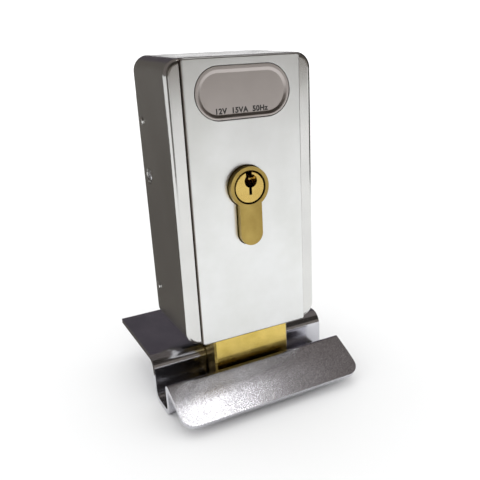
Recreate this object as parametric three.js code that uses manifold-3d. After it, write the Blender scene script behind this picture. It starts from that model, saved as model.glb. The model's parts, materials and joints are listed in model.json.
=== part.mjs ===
// Electric gate lock with a drop bolt and its ground strike plate.
//
// The lock case stands over the strike plate with its brass bolt down in the channel.
// A coil or the key lifts the bolt out; springs push it down again.
// Millimetres, +X to the right, +Y to the rear, +Z up.  The origin is the middle of the
// underside of the strike's rear flange, which lies on the ground.

import * as THREE from 'three';
import { mergeVertices } from 'three/addons/utils/BufferGeometryUtils.js';
import Module from 'manifold-3d';

const wasm = await Module();
wasm.setup();

// ---------------------------------------------------------------- driving dimensions

const GAP = 0.3;              // clearance between pieces that sit against each other
const RUN = 0.35;             // running clearance of a sliding or turning piece
const STROKE = 18;            // travel of the bolt

const CASE_W = 62.6;          // outer width of the case
const CASE_H = 117;
const CASE_D = 36.5;          // side-strip face to rear edge
const CASE_WALL = 1.5;
const CASE_CORNER = 6.3;      // corner radius seen from the front
const CASE_EDGE = 2.2;        // rounding between the front face and the sides

const COVER_W = 50;           // raised front panel
const COVER_PROUD = 1.35;
const COVER_SEAT = 0.6;       // depth of the seat that the panel lies in
const COVER_EDGE = 0.4;

const BADGE_W = 40.2;
const BADGE_H = 20;
const BADGE_X = -0.35;        // middle of the badge beside the middle of the case
const BADGE_TOP = 3.4;        // from the top of the case to the badge
const BADGE_RIM = 2.4;
const BADGE_FOOT = 1.4;       // rim width along the lower edge
const BADGE_T = 1.0;
const BADGE_DISH = 0.5;       // depth of the dished face
const BADGE_SLOPE = 1.1;      // width of the slope around it

const CHASSIS_T = 1.8;
const CHASSIS_FRONT = 5;      // front edge of the chassis flanges
const SHELF_Z = 58;           // underside of the two spring shelves
const SHELF_DEPTH = 8;

const CYL_X = -0.9;           // key axis beside the middle of the case
const CYL_Z = 66.4;           // height of the key axis in the case
const CYL_PROUD = 2.75;       // how far the cylinder stands out of the panel
const CYL_R = 8.5;
const CYL_TAIL_W = 10;
const CYL_TOTAL = 33;         // height of the profile
const CYL_LENGTH = 36;
const CAM_CENTRE = 26;        // from the cylinder's face to the middle of the cam
const CAM_SLOT = 10;
const CAM_REACH = 15;
const CAM_HALF = 4;           // half the width of the cam's nose
const CAM_ROOM = 0.5;         // least clearance of the cam under the ledge as both move
const CAM_FREE = 1.5;         // between the cam's nose and the bridge
const CAM_HUB_R = 7.6;
const PLUG_R = 6.65;
const STUB_R = 4.5;
const STUB_FLAT = 3;          // half the distance over the stub's two flats
const STUB_END = 1.8;         // how far the stub stands out of the cylinder's rear
const CLIP_GROOVE = 0.8;      // depth of the circlip's groove
const CLIP_T = 0.6;
const PIN_COUNT = 5;
const PIN_PITCH = 3.7;
const PIN_FIRST = 4.1;        // from the cylinder's face to the first pin
const PIN_R = 1.45;
const KEY_PIN_L = 3.1;
const DRIVER_L = 4;
const PIN_WIRE = 0.18;        // radius of the pin springs' wire
const PIN_TURNS = 7;
const CHAMBER_FLOOR = 2.5;    // metal left below the pin chambers
const KEY_DEPTH = 3;          // lower end of the keyway below the key axis

const BOLT_W = 36.6;
const BOLT_T = 12.9;
const BOLT_FRONT = 3.3;       // case front to the bolt's locking face
const BOLT_RAISED = 1.9;      // room under the raised bolt, over the strike's flange
const BOLT_HEADROOM = 1.9;    // room over the raised bolt, under the cylinder
const BOLT_TAPER = 5;         // how much thinner the bolt is at its lower end
const BOLT_TAPER_TOP = 0.5;   // the taper starts just inside the case
const BOLT_CHAMFER = 0.8;
const BOLT_TIP = 1;           // chamfer around the lower end

const CARRIAGE_T = 2.2;
const CARRIAGE_SCREW_X = 7;
const CARRIAGE_SCREW_R = 2;
const CARRIAGE_SCREW_L = 9;
const CARRIAGE_HEAD_R = 3.4;
const ARM_W = 6;
const ARM_ROOM = 0.7;         // between the left arm and the cylinder's screw

const GUIDE_H = 7.7;
const GUIDE_WALL = 8;         // guide's depth behind the bolt
const ROD_EDGE = 5.1;         // side of the bolt to the middle of a guide rod
const ROD_R = 1.9;
const ROD_HEAD_R = 3;
const ROD_HEAD_H = 1.8;
const ROD_IN_BOLT = 10;
const SPRING_R = 3.6;         // mean radius of the bolt springs
const SPRING_WIRE = 0.45;     // radius of the wire
const SPRING_TURNS = 9;

const COIL_Z = 64;            // underside of the yoke
const COIL_H = 48;
const COIL_ROOM = 0.5;        // between the yoke and the chassis flange
const YOKE_T = 2.5;
const YOKE_ROOM = 2;          // between the yoke and the cylinder
const YOKE_FRONT = 9;
const YOKE_SCREWS = [10.56, 37.44]; // heights of the two screws over the yoke's underside
const YOKE_SCREW_R = 1.5;
const YOKE_SCREW_L = 6;
const YOKE_HEAD_R = 3;
const BOBBIN_ROOM = 0.5;      // between the bobbin's flanges and the yoke's sides
const BOBBIN_TUBE = 0.9;
const BOBBIN_FLANGE = 1.5;
const WINDING_ROOM = 0.4;     // how far the flanges stand over the winding
const PLUNGER_R = 4;
const PLUNGER_L = 29.5;
const CORE_L = 14;
const CORE_NECK_R = 2.5;
const CORE_RIVET = 1.2;       // how far the neck stands out of the yoke
const LINK_PIN_R = 1.5;
const LINK_PIN_DROP = 4.5;    // from the plunger's lower end up to its pin
const LINK_PIN_SHY = 0.2;     // each end of the pin lies this far inside the plunger

const TERMINAL_W = 20;
const TERMINAL_H = 14;
const TERMINAL_D = 14;
const TERMINAL_SIDE = 2.7;    // between the block and the chassis flange
const TERMINAL_Z = 84;
const TERMINAL_POLES = 2;
const TERMINAL_SCREW_R = 1.5;
const TERMINAL_HEAD_R = 2.4;
const TERMINAL_FUNNEL_R = 2.8;

const GROMMET_X = -15;
const GROMMET_Z = 106;
const GROMMET_R = 4.6;
const CABLE_R = 3.2;

const SIDE_SCREW_Y = 6.5;     // from the rear edge of the case
const SIDE_SCREW_Z = 68.7;
const SIDE_SCREW_SUNK_R = 3.3;  // sunk seat around the screw's head
const SIDE_SCREW_SUNK = 0.9;  // depth of that seat
const SIDE_SCREW_HEAD_R = 2.6;
const SIDE_SCREW_R = 1.5;
const SIDE_SCREW_L = 4;
const RIVET_Y = 4.2;          // from the rear edge of the case
const RIVET_Z = [18, 91.7];
const RIVET_R = 1.7;
const RIVET_LIP = 0.4;        // how far the rivet's head laps over its hole
const CYL_SCREW_R = 2.5;      // the screw that holds the cylinder
const CYL_SCREW_HEAD_R = 4.3;
const CYL_SCREW_PAST = 3;     // how far that screw goes past the key axis
const FIXING_R = 2.75;        // holes for the screws into the gate
const FIXING_Z = [30, 108];
const FIXING_X = 23;

const SHEET = 2.2;            // thickness of the strike plate
const STRIKE_L = 86;
const STRIKE_GAP = 8.4;       // bottom of the case to the top of the flange
const FLANGE_END = 62.6;      // case front to the rear edge of the flange
const PLAY_FRONT = 2.4;       // room in the channel before the bolt
const PLAY_REAR = 2.9;        // room behind the bolt's lower end
const PLAY_BELOW = 2.5;       // room under the bolt
const RAMP_ANGLE = 26;        // slope of the ramp, degrees
const RAMP_REACH = 21.3;      // case front to the tip of the ramp
const NOSE_DROP = 6;          // top of the flange to the sharp corner of the fold
const RAMP_CORNER = 6;
const FLANGE_BEND = 5;        // bend radii of the sheet's middle
const CHANNEL_BENDS = [4.4, 3];
const NOSE_ROOM = 0.1;        // inside radius of the tight fold at the top of the ramp
const FLANGE_FLAT = 4;        // the flange is flat from here behind the channel's wall

// ---------------------------------------------------------------- places that follow

const REAR = CASE_D;
const CHASSIS_HALF = CASE_W / 2 - CASE_WALL - GAP;
const FLANGE_INNER = CHASSIS_HALF - CHASSIS_T;
const BACK_INNER = REAR - CHASSIS_T;

const FACE_Y = -COVER_PROUD - CYL_PROUD;
const CAM_Y = FACE_Y + CAM_CENTRE;
const BORE_R = PLUG_R + RUN;
const TAIL_Z = CYL_R - CYL_TOTAL;
const BRIDGE_TOP = -CAM_REACH - CAM_FREE;
const CYL_SCREW_Z = (TAIL_Z + BRIDGE_TOP) / 2;

const BOLT_BACK = BOLT_FRONT + BOLT_T;
const BOLT_THROW = STROKE + STRIKE_GAP - BOLT_RAISED;
const BOLT_TOP = CYL_Z + TAIL_Z - STROKE - BOLT_HEADROOM;
const ROD_X = BOLT_W / 2 - ROD_EDGE;
const ROD_Y = BOLT_FRONT + BOLT_T / 2;
const GUIDE_Z = CASE_WALL + GAP;
const CARRIAGE_LOW = GUIDE_Z + GUIDE_H + 1;
const CARRIAGE_FRONT = BOLT_BACK + GAP;
const ARM_FRONT = CAM_Y - CYL_SCREW_R - ARM_ROOM - CARRIAGE_T;
const ARM_MID = ARM_FRONT + CARRIAGE_T / 2;
const LEDGE_IN = CYL_R + GAP + 0.1;
const ARM_IN = CAM_REACH + 1;
const SHELF_REAR = ARM_MID - PLUNGER_R - 2 * GAP;
const SHELF_IN = ROD_X - SPRING_R - SPRING_WIRE;

const YOKE_W = FLANGE_INNER - COIL_ROOM - CYL_X - CYL_R - YOKE_ROOM;
const COIL_X = FLANGE_INNER - COIL_ROOM - YOKE_W / 2;
const BOBBIN_R = YOKE_W / 2 - BOBBIN_ROOM;
const WINDING_R = BOBBIN_R - WINDING_ROOM;
const CORE_TOP = COIL_Z + COIL_H - YOKE_T - GAP;
const PLUNGER_TOP = CORE_TOP - CORE_L - STROKE - GAP;
const PLUNGER_LOW = PLUNGER_TOP - PLUNGER_L;
const LINK_PIN_Z = PLUNGER_LOW + LINK_PIN_DROP;
const TERMINAL_X = -FLANGE_INNER + TERMINAL_SIDE + TERMINAL_W / 2;

const WALL_Y = BOLT_BACK - BOLT_TAPER + PLAY_REAR + SHEET;
const CHANNEL_GAP = BOLT_T - BOLT_TAPER + PLAY_REAR + PLAY_FRONT;
const CHANNEL_DEPTH = BOLT_THROW + PLAY_BELOW + SHEET - STRIKE_GAP;
const LOCK_Y = -(FLANGE_END + WALL_Y + FLANGE_FLAT) / 2;
const LOCK_Z = SHEET + STRIKE_GAP;

// The lowest height for the ledge's underside at which the cam stays clear of it while the
// cam turns a quarter and lifts the ledge by the stroke.
function ledgeHeight() {
  const rooms = [];
  for (let degrees = 1; degrees <= 90; degrees += 1) {
    const angle = THREE.MathUtils.degToRad(degrees);
    const along = (LEDGE_IN - CAM_HALF * Math.cos(angle)) / Math.sin(angle);
    const noseTop = CAM_HALF * Math.sin(angle) - along * Math.cos(angle);
    if (along <= CAM_REACH) rooms.push(noseTop - STROKE * degrees / 90);
  }
  return CYL_Z + Math.max(...rooms) + CAM_ROOM;
}

const LEDGE_Z = ledgeHeight();

// ---------------------------------------------------------------- materials

function finish(color, roughness, metalness) {
  return new THREE.MeshStandardMaterial({ color, roughness, metalness });
}

const satinSteel = () => finish(0xc9c8c4, 0.38, 1);
const coverSteel = () => finish(0xd6d4cf, 0.34, 1);
const badgeSteel = () => finish(0xb3aca4, 0.45, 1);
const zincSteel = () => finish(0x9b9aa0, 0.42, 1);
const platedSteel = () => finish(0xb8bbc0, 0.35, 1);
const darkSteel = () => finish(0x55565a, 0.5, 1);
const boltBrass = () => finish(0xc9ac52, 0.3, 1);
const bodyBrass = () => finish(0xad9550, 0.42, 1);
const plugBrass = () => finish(0xdcc070, 0.33, 1);
const springSteel = () => finish(0x8d9096, 0.3, 1);
const copper = () => finish(0xb4622f, 0.35, 1);
const nylon = () => finish(0xe6e2d4, 0.55, 0);
const blackPlastic = () => finish(0x202124, 0.6, 0);
const rubber = () => finish(0x161616, 0.85, 0);

// ---------------------------------------------------------------- shaping helpers

function solid(geometry) {
  const bare = geometry.clone();
  bare.deleteAttribute('normal');
  bare.deleteAttribute('uv');
  const merged = mergeVertices(bare);
  return new wasm.Manifold(new wasm.Mesh({
    numProp: 3,
    vertProperties: new Float32Array(merged.attributes.position.array),
    triVerts: new Uint32Array(merged.index.array),
  }));
}

function surface(manifold) {
  const mesh = manifold.getMesh();
  const geometry = new THREE.BufferGeometry();
  geometry.setAttribute('position', new THREE.BufferAttribute(mesh.vertProperties, 3));
  geometry.setIndex(new THREE.BufferAttribute(mesh.triVerts, 1));
  geometry.computeVertexNormals();
  return geometry;
}

// Joins the first list of geometries and cuts the second list out of it.
function carve(joined, removed = []) {
  let body = joined.map(solid).reduce((a, b) => a.add(b));
  for (const tool of removed) body = body.subtract(solid(tool));
  return surface(body);
}

function box(x, y, z) {
  const size = [x, y, z].map(([from, to]) => to - from);
  const middle = [x, y, z].map(([from, to]) => (from + to) / 2);
  return new THREE.BoxGeometry(...size).translate(...middle);
}

// A round bar along one axis; at holds its place on the other two axes.
function bar(axis, radius, [from, to], at = [0, 0], sides = 24) {
  const geometry = new THREE.CylinderGeometry(radius, radius, to - from, sides);
  const middle = (from + to) / 2;
  if (axis === 'x') return geometry.rotateZ(Math.PI / 2).translate(middle, at[0], at[1]);
  if (axis === 'y') return geometry.translate(at[0], middle, at[1]);
  return geometry.rotateX(Math.PI / 2).translate(at[0], at[1], middle);
}

// Extrudes a shape drawn in XZ along Y, in YZ along X, or in XY along Z.
function extrude(shape, plane, [from, to], options = {}) {
  const geometry = new THREE.ExtrudeGeometry(shape, {
    depth: to - from, bevelEnabled: false, curveSegments: 6, ...options,
  });
  const X = new THREE.Vector3(1, 0, 0);
  const Y = new THREE.Vector3(0, 1, 0);
  const Z = new THREE.Vector3(0, 0, 1);
  const turn = new THREE.Matrix4();
  if (plane === 'xz') {
    geometry.applyMatrix4(turn.makeBasis(X, Z, Y.negate()));
    return geometry.translate(0, to, 0);
  }
  if (plane === 'yz') {
    geometry.applyMatrix4(turn.makeBasis(Y, Z, X));
    return geometry.translate(from, 0, 0);
  }
  return geometry.translate(0, 0, from);
}

// A stretch from the lower of two places to the higher.
function span(a, b) {
  return [Math.min(a, b), Math.max(a, b)];
}

function roundedRectangle([left, right], [low, high], radius) {
  const shape = new THREE.Shape();
  shape.moveTo(left + radius, low);
  shape.lineTo(right - radius, low);
  shape.absarc(right - radius, low + radius, radius, -Math.PI / 2, 0);
  shape.lineTo(right, high - radius);
  shape.absarc(right - radius, high - radius, radius, 0, Math.PI / 2);
  shape.lineTo(left + radius, high);
  shape.absarc(left + radius, high - radius, radius, Math.PI / 2, Math.PI);
  shape.lineTo(left, low + radius);
  shape.absarc(left + radius, low + radius, radius, Math.PI, 1.5 * Math.PI);
  return shape;
}

// The profile of a lock cylinder about the key axis, grown by a clearance.
function cylinderProfile(grow = 0) {
  const radius = CYL_R + grow;
  const half = CYL_TAIL_W / 2 + grow;
  const foot = TAIL_Z - grow;
  const side = Math.asin(half / radius);
  const shape = new THREE.Shape();
  shape.absarc(0, 0, radius, -Math.PI / 2 + side, 1.5 * Math.PI - side);
  shape.lineTo(-half, foot + half);
  shape.absarc(0, foot + half, half, Math.PI, 2 * Math.PI);
  shape.closePath();
  return shape;
}

// A turned piece about Z from a profile of [radius, height] points.
function turned(points, sides = 24) {
  const profile = points.map(([r, z]) => new THREE.Vector2(r, z));
  return new THREE.LatheGeometry(profile, sides).rotateX(Math.PI / 2);
}

// A coil spring about Z, standing on height 0.
function helix(radius, wire, turns, height, stepsPerTurn, sides) {
  class Coil extends THREE.Curve {
    getPoint(t, target = new THREE.Vector3()) {
      const angle = 2 * Math.PI * turns * t;
      const rise = wire + (height - 2 * wire) * t;
      return target.set(radius * Math.cos(angle), radius * Math.sin(angle), rise);
    }
  }
  const section = new THREE.Shape();
  section.absarc(0, 0, wire, 0, 2 * Math.PI);
  return new THREE.ExtrudeGeometry(section, {
    steps: turns * stepsPerTurn, curveSegments: sides, extrudePath: new Coil(),
  });
}

function add(group, name, geometry, material, position = [0, 0, 0], rotation = [0, 0, 0]) {
  const mesh = new THREE.Mesh(geometry, material);
  mesh.name = name;
  mesh.position.set(...position);
  mesh.rotation.set(...rotation);
  group.add(mesh);
}

// ---------------------------------------------------------------- strike plate

// Outline of a strip bent along a centre line of [y, z, bend radius] corners.
function bentStrip(corners, thickness) {
  const path = new THREE.Path();
  path.moveTo(corners[0][0], corners[0][1]);
  for (let i = 1; i < corners.length - 1; i += 1) {
    const here = new THREE.Vector2(corners[i][0], corners[i][1]);
    const before = new THREE.Vector2(corners[i - 1][0], corners[i - 1][1]).sub(here).normalize();
    const after = new THREE.Vector2(corners[i + 1][0], corners[i + 1][1]).sub(here).normalize();
    const half = before.angleTo(after) / 2;
    const radius = corners[i][2];
    const start = here.clone().addScaledVector(before, radius / Math.tan(half));
    const end = here.clone().addScaledVector(after, radius / Math.tan(half));
    const inward = before.clone().add(after).normalize();
    const centre = here.clone().addScaledVector(inward, radius / Math.sin(half));
    const clockwise = before.cross(after) > 0;
    path.lineTo(start.x, start.y);
    path.absarc(
      centre.x, centre.y, radius,
      Math.atan2(start.y - centre.y, start.x - centre.x),
      Math.atan2(end.y - centre.y, end.x - centre.x), clockwise,
    );
  }
  const last = corners[corners.length - 1];
  path.lineTo(last[0], last[1]);
  const line = path.getPoints(6).filter((p, i, all) => i === 0 || p.distanceTo(all[i - 1]) > 1e-3);
  const sides = [1, -1].map((side) => line.map((point, i) => {
    const back = line[Math.max(i - 1, 0)];
    const next = line[Math.min(i + 1, line.length - 1)];
    const inBend = i > 0 && i < line.length - 1;
    const a = point.clone().sub(back).normalize();
    const b = next.clone().sub(point).normalize();
    const along = a.add(b).normalize();
    const stretch = inBend ? 1 / Math.cos(Math.abs(b.angleTo(along))) : 1;
    const shift = side * thickness / 2 * stretch;
    return new THREE.Vector2(point.x - along.y * shift, point.y + along.x * shift);
  }));
  return new THREE.Shape([...sides[0], ...sides[1].reverse()]);
}

function strikePlate() {
  const half = SHEET / 2;
  const slope = THREE.MathUtils.degToRad(RAMP_ANGLE);
  const flange = -STRIKE_GAP - half;
  const wall = WALL_Y - half;
  const floor = -STRIKE_GAP - CHANNEL_DEPTH + half;
  const front = WALL_Y - SHEET - CHANNEL_GAP - half;
  const fold = -STRIKE_GAP - NOSE_DROP;
  const tip = -RAMP_REACH + half * Math.sin(slope);
  const outline = bentStrip([
    [FLANGE_END, flange],
    [wall, flange, FLANGE_BEND],
    [wall, floor, CHANNEL_BENDS[0]],
    [front, floor, CHANNEL_BENDS[1]],
    [front, fold, half + NOSE_ROOM],
    [tip, fold - (front - tip) * Math.tan(slope)],
  ], SHEET);
  const strip = extrude(outline, 'yz', [-STRIKE_L / 2, STRIKE_L / 2]);
  // Everything outside this plan view is trimmed off, which rounds the ramp's corners.
  const plan = roundedRectangle(
    [-STRIKE_L / 2, STRIKE_L / 2], [-RAMP_REACH, FLANGE_END + 2 * RAMP_CORNER], RAMP_CORNER,
  );
  const keep = extrude(plan, 'xy', [tip - 2 * CHANNEL_DEPTH, 0], { curveSegments: 4 });
  return surface(solid(strip).intersect(solid(keep)));
}

// ---------------------------------------------------------------- case and covers

function caseShell() {
  const half = CASE_W / 2;
  const outer = extrude(
    roundedRectangle([-half, half], [0, CASE_H], CASE_CORNER), 'xz',
    [CASE_EDGE, REAR + CASE_EDGE],
    {
      bevelEnabled: true, bevelSize: CASE_EDGE, bevelThickness: CASE_EDGE,
      bevelOffset: -CASE_EDGE, bevelSegments: 5, curveSegments: 5,
    },
  );
  const hollow = extrude(roundedRectangle(
    [-half + CASE_WALL, half - CASE_WALL], [CASE_WALL, CASE_H - CASE_WALL],
    CASE_CORNER - CASE_WALL,
  ), 'xz', [CASE_WALL, REAR + 10], { curveSegments: 4 });
  const behind = box([-CASE_W, CASE_W], [REAR, REAR + 10], [-1, CASE_H + 1]);
  const seat = box(
    [-COVER_W / 2 - GAP, COVER_W / 2 + GAP], [-1, COVER_SEAT], [-1, CASE_H + 1],
  );
  const keyhole = extrude(cylinderProfile(GAP), 'xz', [-1, CASE_WALL + 1], { curveSegments: 12 })
    .translate(CYL_X, 0, CYL_Z);
  const boltHole = box(
    [-BOLT_W / 2 - RUN, BOLT_W / 2 + RUN],
    [BOLT_FRONT - RUN, BOLT_BACK + RUN], [-1, CASE_WALL + 1],
  );
  const cuts = [behind, hollow, seat, keyhole, boltHole];
  for (const side of [-1, 1]) {
    const screw = [REAR - SIDE_SCREW_Y, SIDE_SCREW_Z];
    const sunk = span(side * (half - SIDE_SCREW_SUNK), side * (half + 1));
    const through = span(side * (half - CASE_WALL - 1), side * (half + 1));
    cuts.push(bar('x', SIDE_SCREW_SUNK_R, sunk, screw));
    cuts.push(bar('x', SIDE_SCREW_R + GAP + 0.2, through, screw));
    for (const z of RIVET_Z) {
      cuts.push(bar('x', RIVET_R - RIVET_LIP, through, [REAR - RIVET_Y, z]));
    }
  }
  return carve([outer], cuts);
}

function frontCover() {
  const half = COVER_W / 2;
  const outline = roundedRectangle([-half, half], [0, CASE_H], 0.5);
  const plate = extrude(outline, 'xz', [-COVER_PROUD + COVER_EDGE, COVER_SEAT - GAP], {
    bevelEnabled: true, bevelSize: COVER_EDGE, bevelThickness: COVER_EDGE,
    bevelOffset: -COVER_EDGE, bevelSegments: 3, curveSegments: 2,
  });
  const behind = box([-CASE_W, CASE_W], [COVER_SEAT - GAP, 10], [-1, CASE_H + 1]);
  const keyhole = extrude(cylinderProfile(GAP), 'xz', [-5, 5], { curveSegments: 12 })
    .translate(CYL_X, 0, CYL_Z);
  const top = CASE_H - BADGE_TOP + GAP;
  const recess = extrude(roundedRectangle(
    [-BADGE_W / 2 - GAP, BADGE_W / 2 + GAP], [top - BADGE_H - 2 * GAP, top],
    BADGE_H / 2 + GAP,
  ), 'xz', [-5, -COVER_PROUD + BADGE_T + GAP]).translate(BADGE_X, 0, 0);
  return carve([plate], [behind, keyhole, recess]);
}

// A long oval plate with a dished face.
function badgePlate() {
  const half = BADGE_H / 2;
  const oval = roundedRectangle([-BADGE_W / 2, BADGE_W / 2], [-half, half], half);
  const plate = extrude(oval, 'xz', [0, BADGE_T]);
  const side = BADGE_W / 2 - BADGE_RIM;
  const floor = roundedRectangle(
    [-side, side], [-half + BADGE_FOOT, half - BADGE_RIM], half - (BADGE_RIM + BADGE_FOOT) / 2,
  );
  const lip = 0.1;
  const dish = extrude(floor, 'xz', [-BADGE_T, lip], {
    bevelEnabled: true, bevelSize: BADGE_SLOPE, bevelThickness: BADGE_DISH - lip,
    bevelOffset: 0, bevelSegments: 1,
  });
  return carve([plate], [dish]);
}

// A small sunk pan-head screw along Z with its head up; the head's underside is height 0.
function panScrew(shank, length, head, height) {
  const screw = turned([
    [0, -length], [shank - 0.3, -length], [shank, -length + 0.3], [shank, 0], [head, 0],
    [head, height * 0.6], [head * 0.85, height * 0.9], [head * 0.5, height], [0, height],
  ], 20);
  const slot = box([-head, head], [-0.3, 0.3], [height * 0.45, height + 1]);
  return carve([screw], [slot]);
}

// A countersunk screw along Z; the head's flat top is height 0.
function sunkScrew(shank, length, head, depth) {
  const screw = turned([
    [0, -length], [shank - 0.4, -length], [shank, -length + 0.4], [shank, -depth],
    [head, -0.3], [head, 0], [0, 0],
  ], 20);
  const slotA = box([-head * 0.55, head * 0.55], [-0.4, 0.4], [-depth * 0.7, 1]);
  const slotB = box([-0.4, 0.4], [-head * 0.55, head * 0.55], [-depth * 0.7, 1]);
  return carve([screw], [slotA, slotB]);
}

function caseRivet() {
  const shank = RIVET_R - RIVET_LIP - GAP / 2;
  const end = -CASE_WALL - CHASSIS_T - 2 * GAP;
  return turned([
    [0, end], [shank, end], [shank, 0.1],
    [RIVET_R, 0.1], [RIVET_R * 0.9, 0.35], [RIVET_R * 0.6, 0.55], [0, 0.65],
  ], 16);
}

// ---------------------------------------------------------------- chassis

function chassis() {
  const low = CASE_WALL + GAP;
  const high = CASE_H - CASE_WALL - GAP;
  const corner = CASE_CORNER - CASE_WALL - GAP;
  const behind = [BACK_INNER - 1, REAR + 1];
  const back = extrude(
    roundedRectangle([-CHASSIS_HALF, CHASSIS_HALF], [low, high], corner), 'xz',
    [BACK_INNER, REAR], { curveSegments: 4 },
  );
  const joined = [back];
  const cuts = [];
  for (const side of [-1, 1]) {
    const flange = span(side * CHASSIS_HALF, side * FLANGE_INNER);
    const shelf = span(side * SHELF_IN, side * (FLANGE_INNER + 0.5));
    joined.push(box(flange, [CHASSIS_FRONT, REAR - 0.5], [low + corner, high - corner]));
    joined.push(box(shelf, [SHELF_REAR - SHELF_DEPTH, SHELF_REAR], [SHELF_Z, SHELF_Z + CHASSIS_T]));
    cuts.push(bar(
      'z', ROD_R + GAP / 2, [SHELF_Z - 1, SHELF_Z + CHASSIS_T + 1], [side * ROD_X, ROD_Y],
    ));
    const wall = span(side * (CHASSIS_HALF + 1), side * (FLANGE_INNER - 1));
    cuts.push(bar('x', SIDE_SCREW_R + GAP / 2, wall, [REAR - SIDE_SCREW_Y, SIDE_SCREW_Z]));
    for (const z of RIVET_Z) {
      cuts.push(bar('x', RIVET_R - RIVET_LIP, wall, [REAR - RIVET_Y, z]));
    }
    for (const z of FIXING_Z) {
      cuts.push(bar('y', FIXING_R, behind, [side * FIXING_X, z]));
    }
  }
  cuts.push(bar('y', GROMMET_R, behind, [GROMMET_X, GROMMET_Z]));
  for (const z of yokeScrewHeights()) {
    cuts.push(bar('y', YOKE_SCREW_R + GAP, behind, [COIL_X, z]));
    cuts.push(headSeat(YOKE_HEAD_R).rotateX(-Math.PI / 2).translate(COIL_X, REAR, z));
  }
  const screwHole = [-CHASSIS_HALF - 1, -FLANGE_INNER + 1];
  cuts.push(bar('x', CYL_SCREW_R + GAP, screwHole, [CAM_Y, CYL_Z + CYL_SCREW_Z]));
  cuts.push(headSeat(CYL_SCREW_HEAD_R).rotateY(-Math.PI / 2)
    .translate(-CHASSIS_HALF, CAM_Y, CYL_Z + CYL_SCREW_Z));
  return carve(joined, cuts);
}

// A cone along Z that sinks a screw head into a face, with its open end at the origin.
function headSeat(head) {
  const radius = head + 2 * GAP + 0.1;
  const depth = CHASSIS_T - 0.1;
  return turned([
    [0, -depth - 1], [radius - depth, -depth], [radius, 0], [radius, 1], [0, 1],
  ], 20);
}

function yokeScrewHeights() {
  return YOKE_SCREWS.map((height) => COIL_Z + height);
}

// ---------------------------------------------------------------- lock cylinder

function pinPlaces() {
  return Array.from({ length: PIN_COUNT }, (_, i) => PIN_FIRST + PIN_PITCH * i);
}

// The cylinder's pieces are drawn about the key axis, with their face at depth 0.
function cylinderBody() {
  const body = extrude(cylinderProfile(), 'xz', [0, CYL_LENGTH], { curveSegments: 20 });
  const slot = [CAM_CENTRE - CAM_SLOT / 2, CAM_CENTRE + CAM_SLOT / 2];
  const bore = bar('y', BORE_R, [-1, slot[0] + 1], [0, 0], 48);
  const rear = bar('y', STUB_R + RUN, [slot[1] - 1, CYL_LENGTH + 1], [0, 0]);
  const gap = box([-CYL_R - 1, CYL_R + 1], slot, [BRIDGE_TOP, CYL_R + 1]);
  const screw = bar('x', CYL_SCREW_R + GAP, [-CYL_R, CYL_R], [CAM_CENTRE, CYL_SCREW_Z]);
  const chambers = pinPlaces().map((y) => (
    bar('z', PIN_R + GAP / 2, [TAIL_Z + CHAMBER_FLOOR, -PLUG_R + 1], [0, y], 16)
  ));
  return carve([body], [bore, rear, gap, screw, ...chambers]);
}

// Keyway outline about the key axis: a round head that breaks out of the plug's top,
// with a rib from the right, and a narrow slot below.
function keywayShape() {
  const shape = new THREE.Shape();
  shape.moveTo(-0.35, -KEY_DEPTH);
  shape.lineTo(0.75, -KEY_DEPTH);
  shape.lineTo(0.75, 0.6);
  shape.quadraticCurveTo(2.3, 1.1, 2.6, 2.1);
  shape.lineTo(0.9, 2.6);
  shape.lineTo(0.9, 3.4);
  shape.lineTo(2.7, 3.9);
  shape.quadraticCurveTo(2.2, 5.6, 1.5, 6);
  shape.lineTo(1.5, PLUG_R + 1);
  shape.lineTo(-1.1, PLUG_R + 1);
  shape.lineTo(-1.1, 5.9);
  shape.quadraticCurveTo(-2.3, 5.2, -2.1, 3.4);
  shape.quadraticCurveTo(-2, 1.3, -0.35, 0.6);
  shape.closePath();
  return shape;
}

function cylinderPlug() {
  const front = CAM_CENTRE - CAM_SLOT / 2 - GAP;
  const plug = bar('y', PLUG_R, [GAP / 2, front], [0, 0], 48);
  const stub = bar('y', STUB_R, [front - 1, CYL_LENGTH + STUB_END]);
  const flats = [-1, 1].map((side) => box(
    span(side * STUB_FLAT, side * (STUB_R + 1)),
    [front, CAM_CENTRE + CAM_SLOT / 2 + GAP / 2], [-STUB_R - 1, STUB_R + 1],
  ));
  const grooveEnd = CYL_LENGTH + GAP + CLIP_T + 0.2;
  const groove = carve(
    [bar('y', STUB_R + 1, [CYL_LENGTH + GAP, grooveEnd])],
    [bar('y', STUB_R - CLIP_GROOVE, [CYL_LENGTH - 1, grooveEnd + 1])],
  );
  const keyway = extrude(keywayShape(), 'xz', [-1, front - 2], { curveSegments: 3 });
  const holes = pinPlaces().map((y) => (
    bar('z', PIN_R + GAP / 2, [-PLUG_R - 1, -KEY_DEPTH + 0.4], [0, y], 16)
  ));
  return carve([plug, stub], [...flats, groove, keyway, ...holes]);
}

function cylinderCam() {
  const width = [CAM_CENTRE - CAM_SLOT / 2 + GAP, CAM_CENTRE + CAM_SLOT / 2 - GAP];
  const hub = bar('y', CAM_HUB_R, width);
  const lobe = roundedRectangle([-CAM_HALF, CAM_HALF], [-CAM_REACH, 0], 1.5);
  const nose = extrude(lobe, 'xz', width, { curveSegments: 3 });
  const hole = new THREE.Shape();
  const x = STUB_FLAT + GAP / 2;
  const r = STUB_R + GAP / 2;
  const angle = Math.acos(x / r);
  hole.absarc(0, 0, r, angle, Math.PI - angle);
  hole.absarc(0, 0, r, Math.PI + angle, 2 * Math.PI - angle);
  hole.closePath();
  return carve([hub, nose], [extrude(hole, 'xz', [width[0] - 1, width[1] + 1])]);
}

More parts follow.
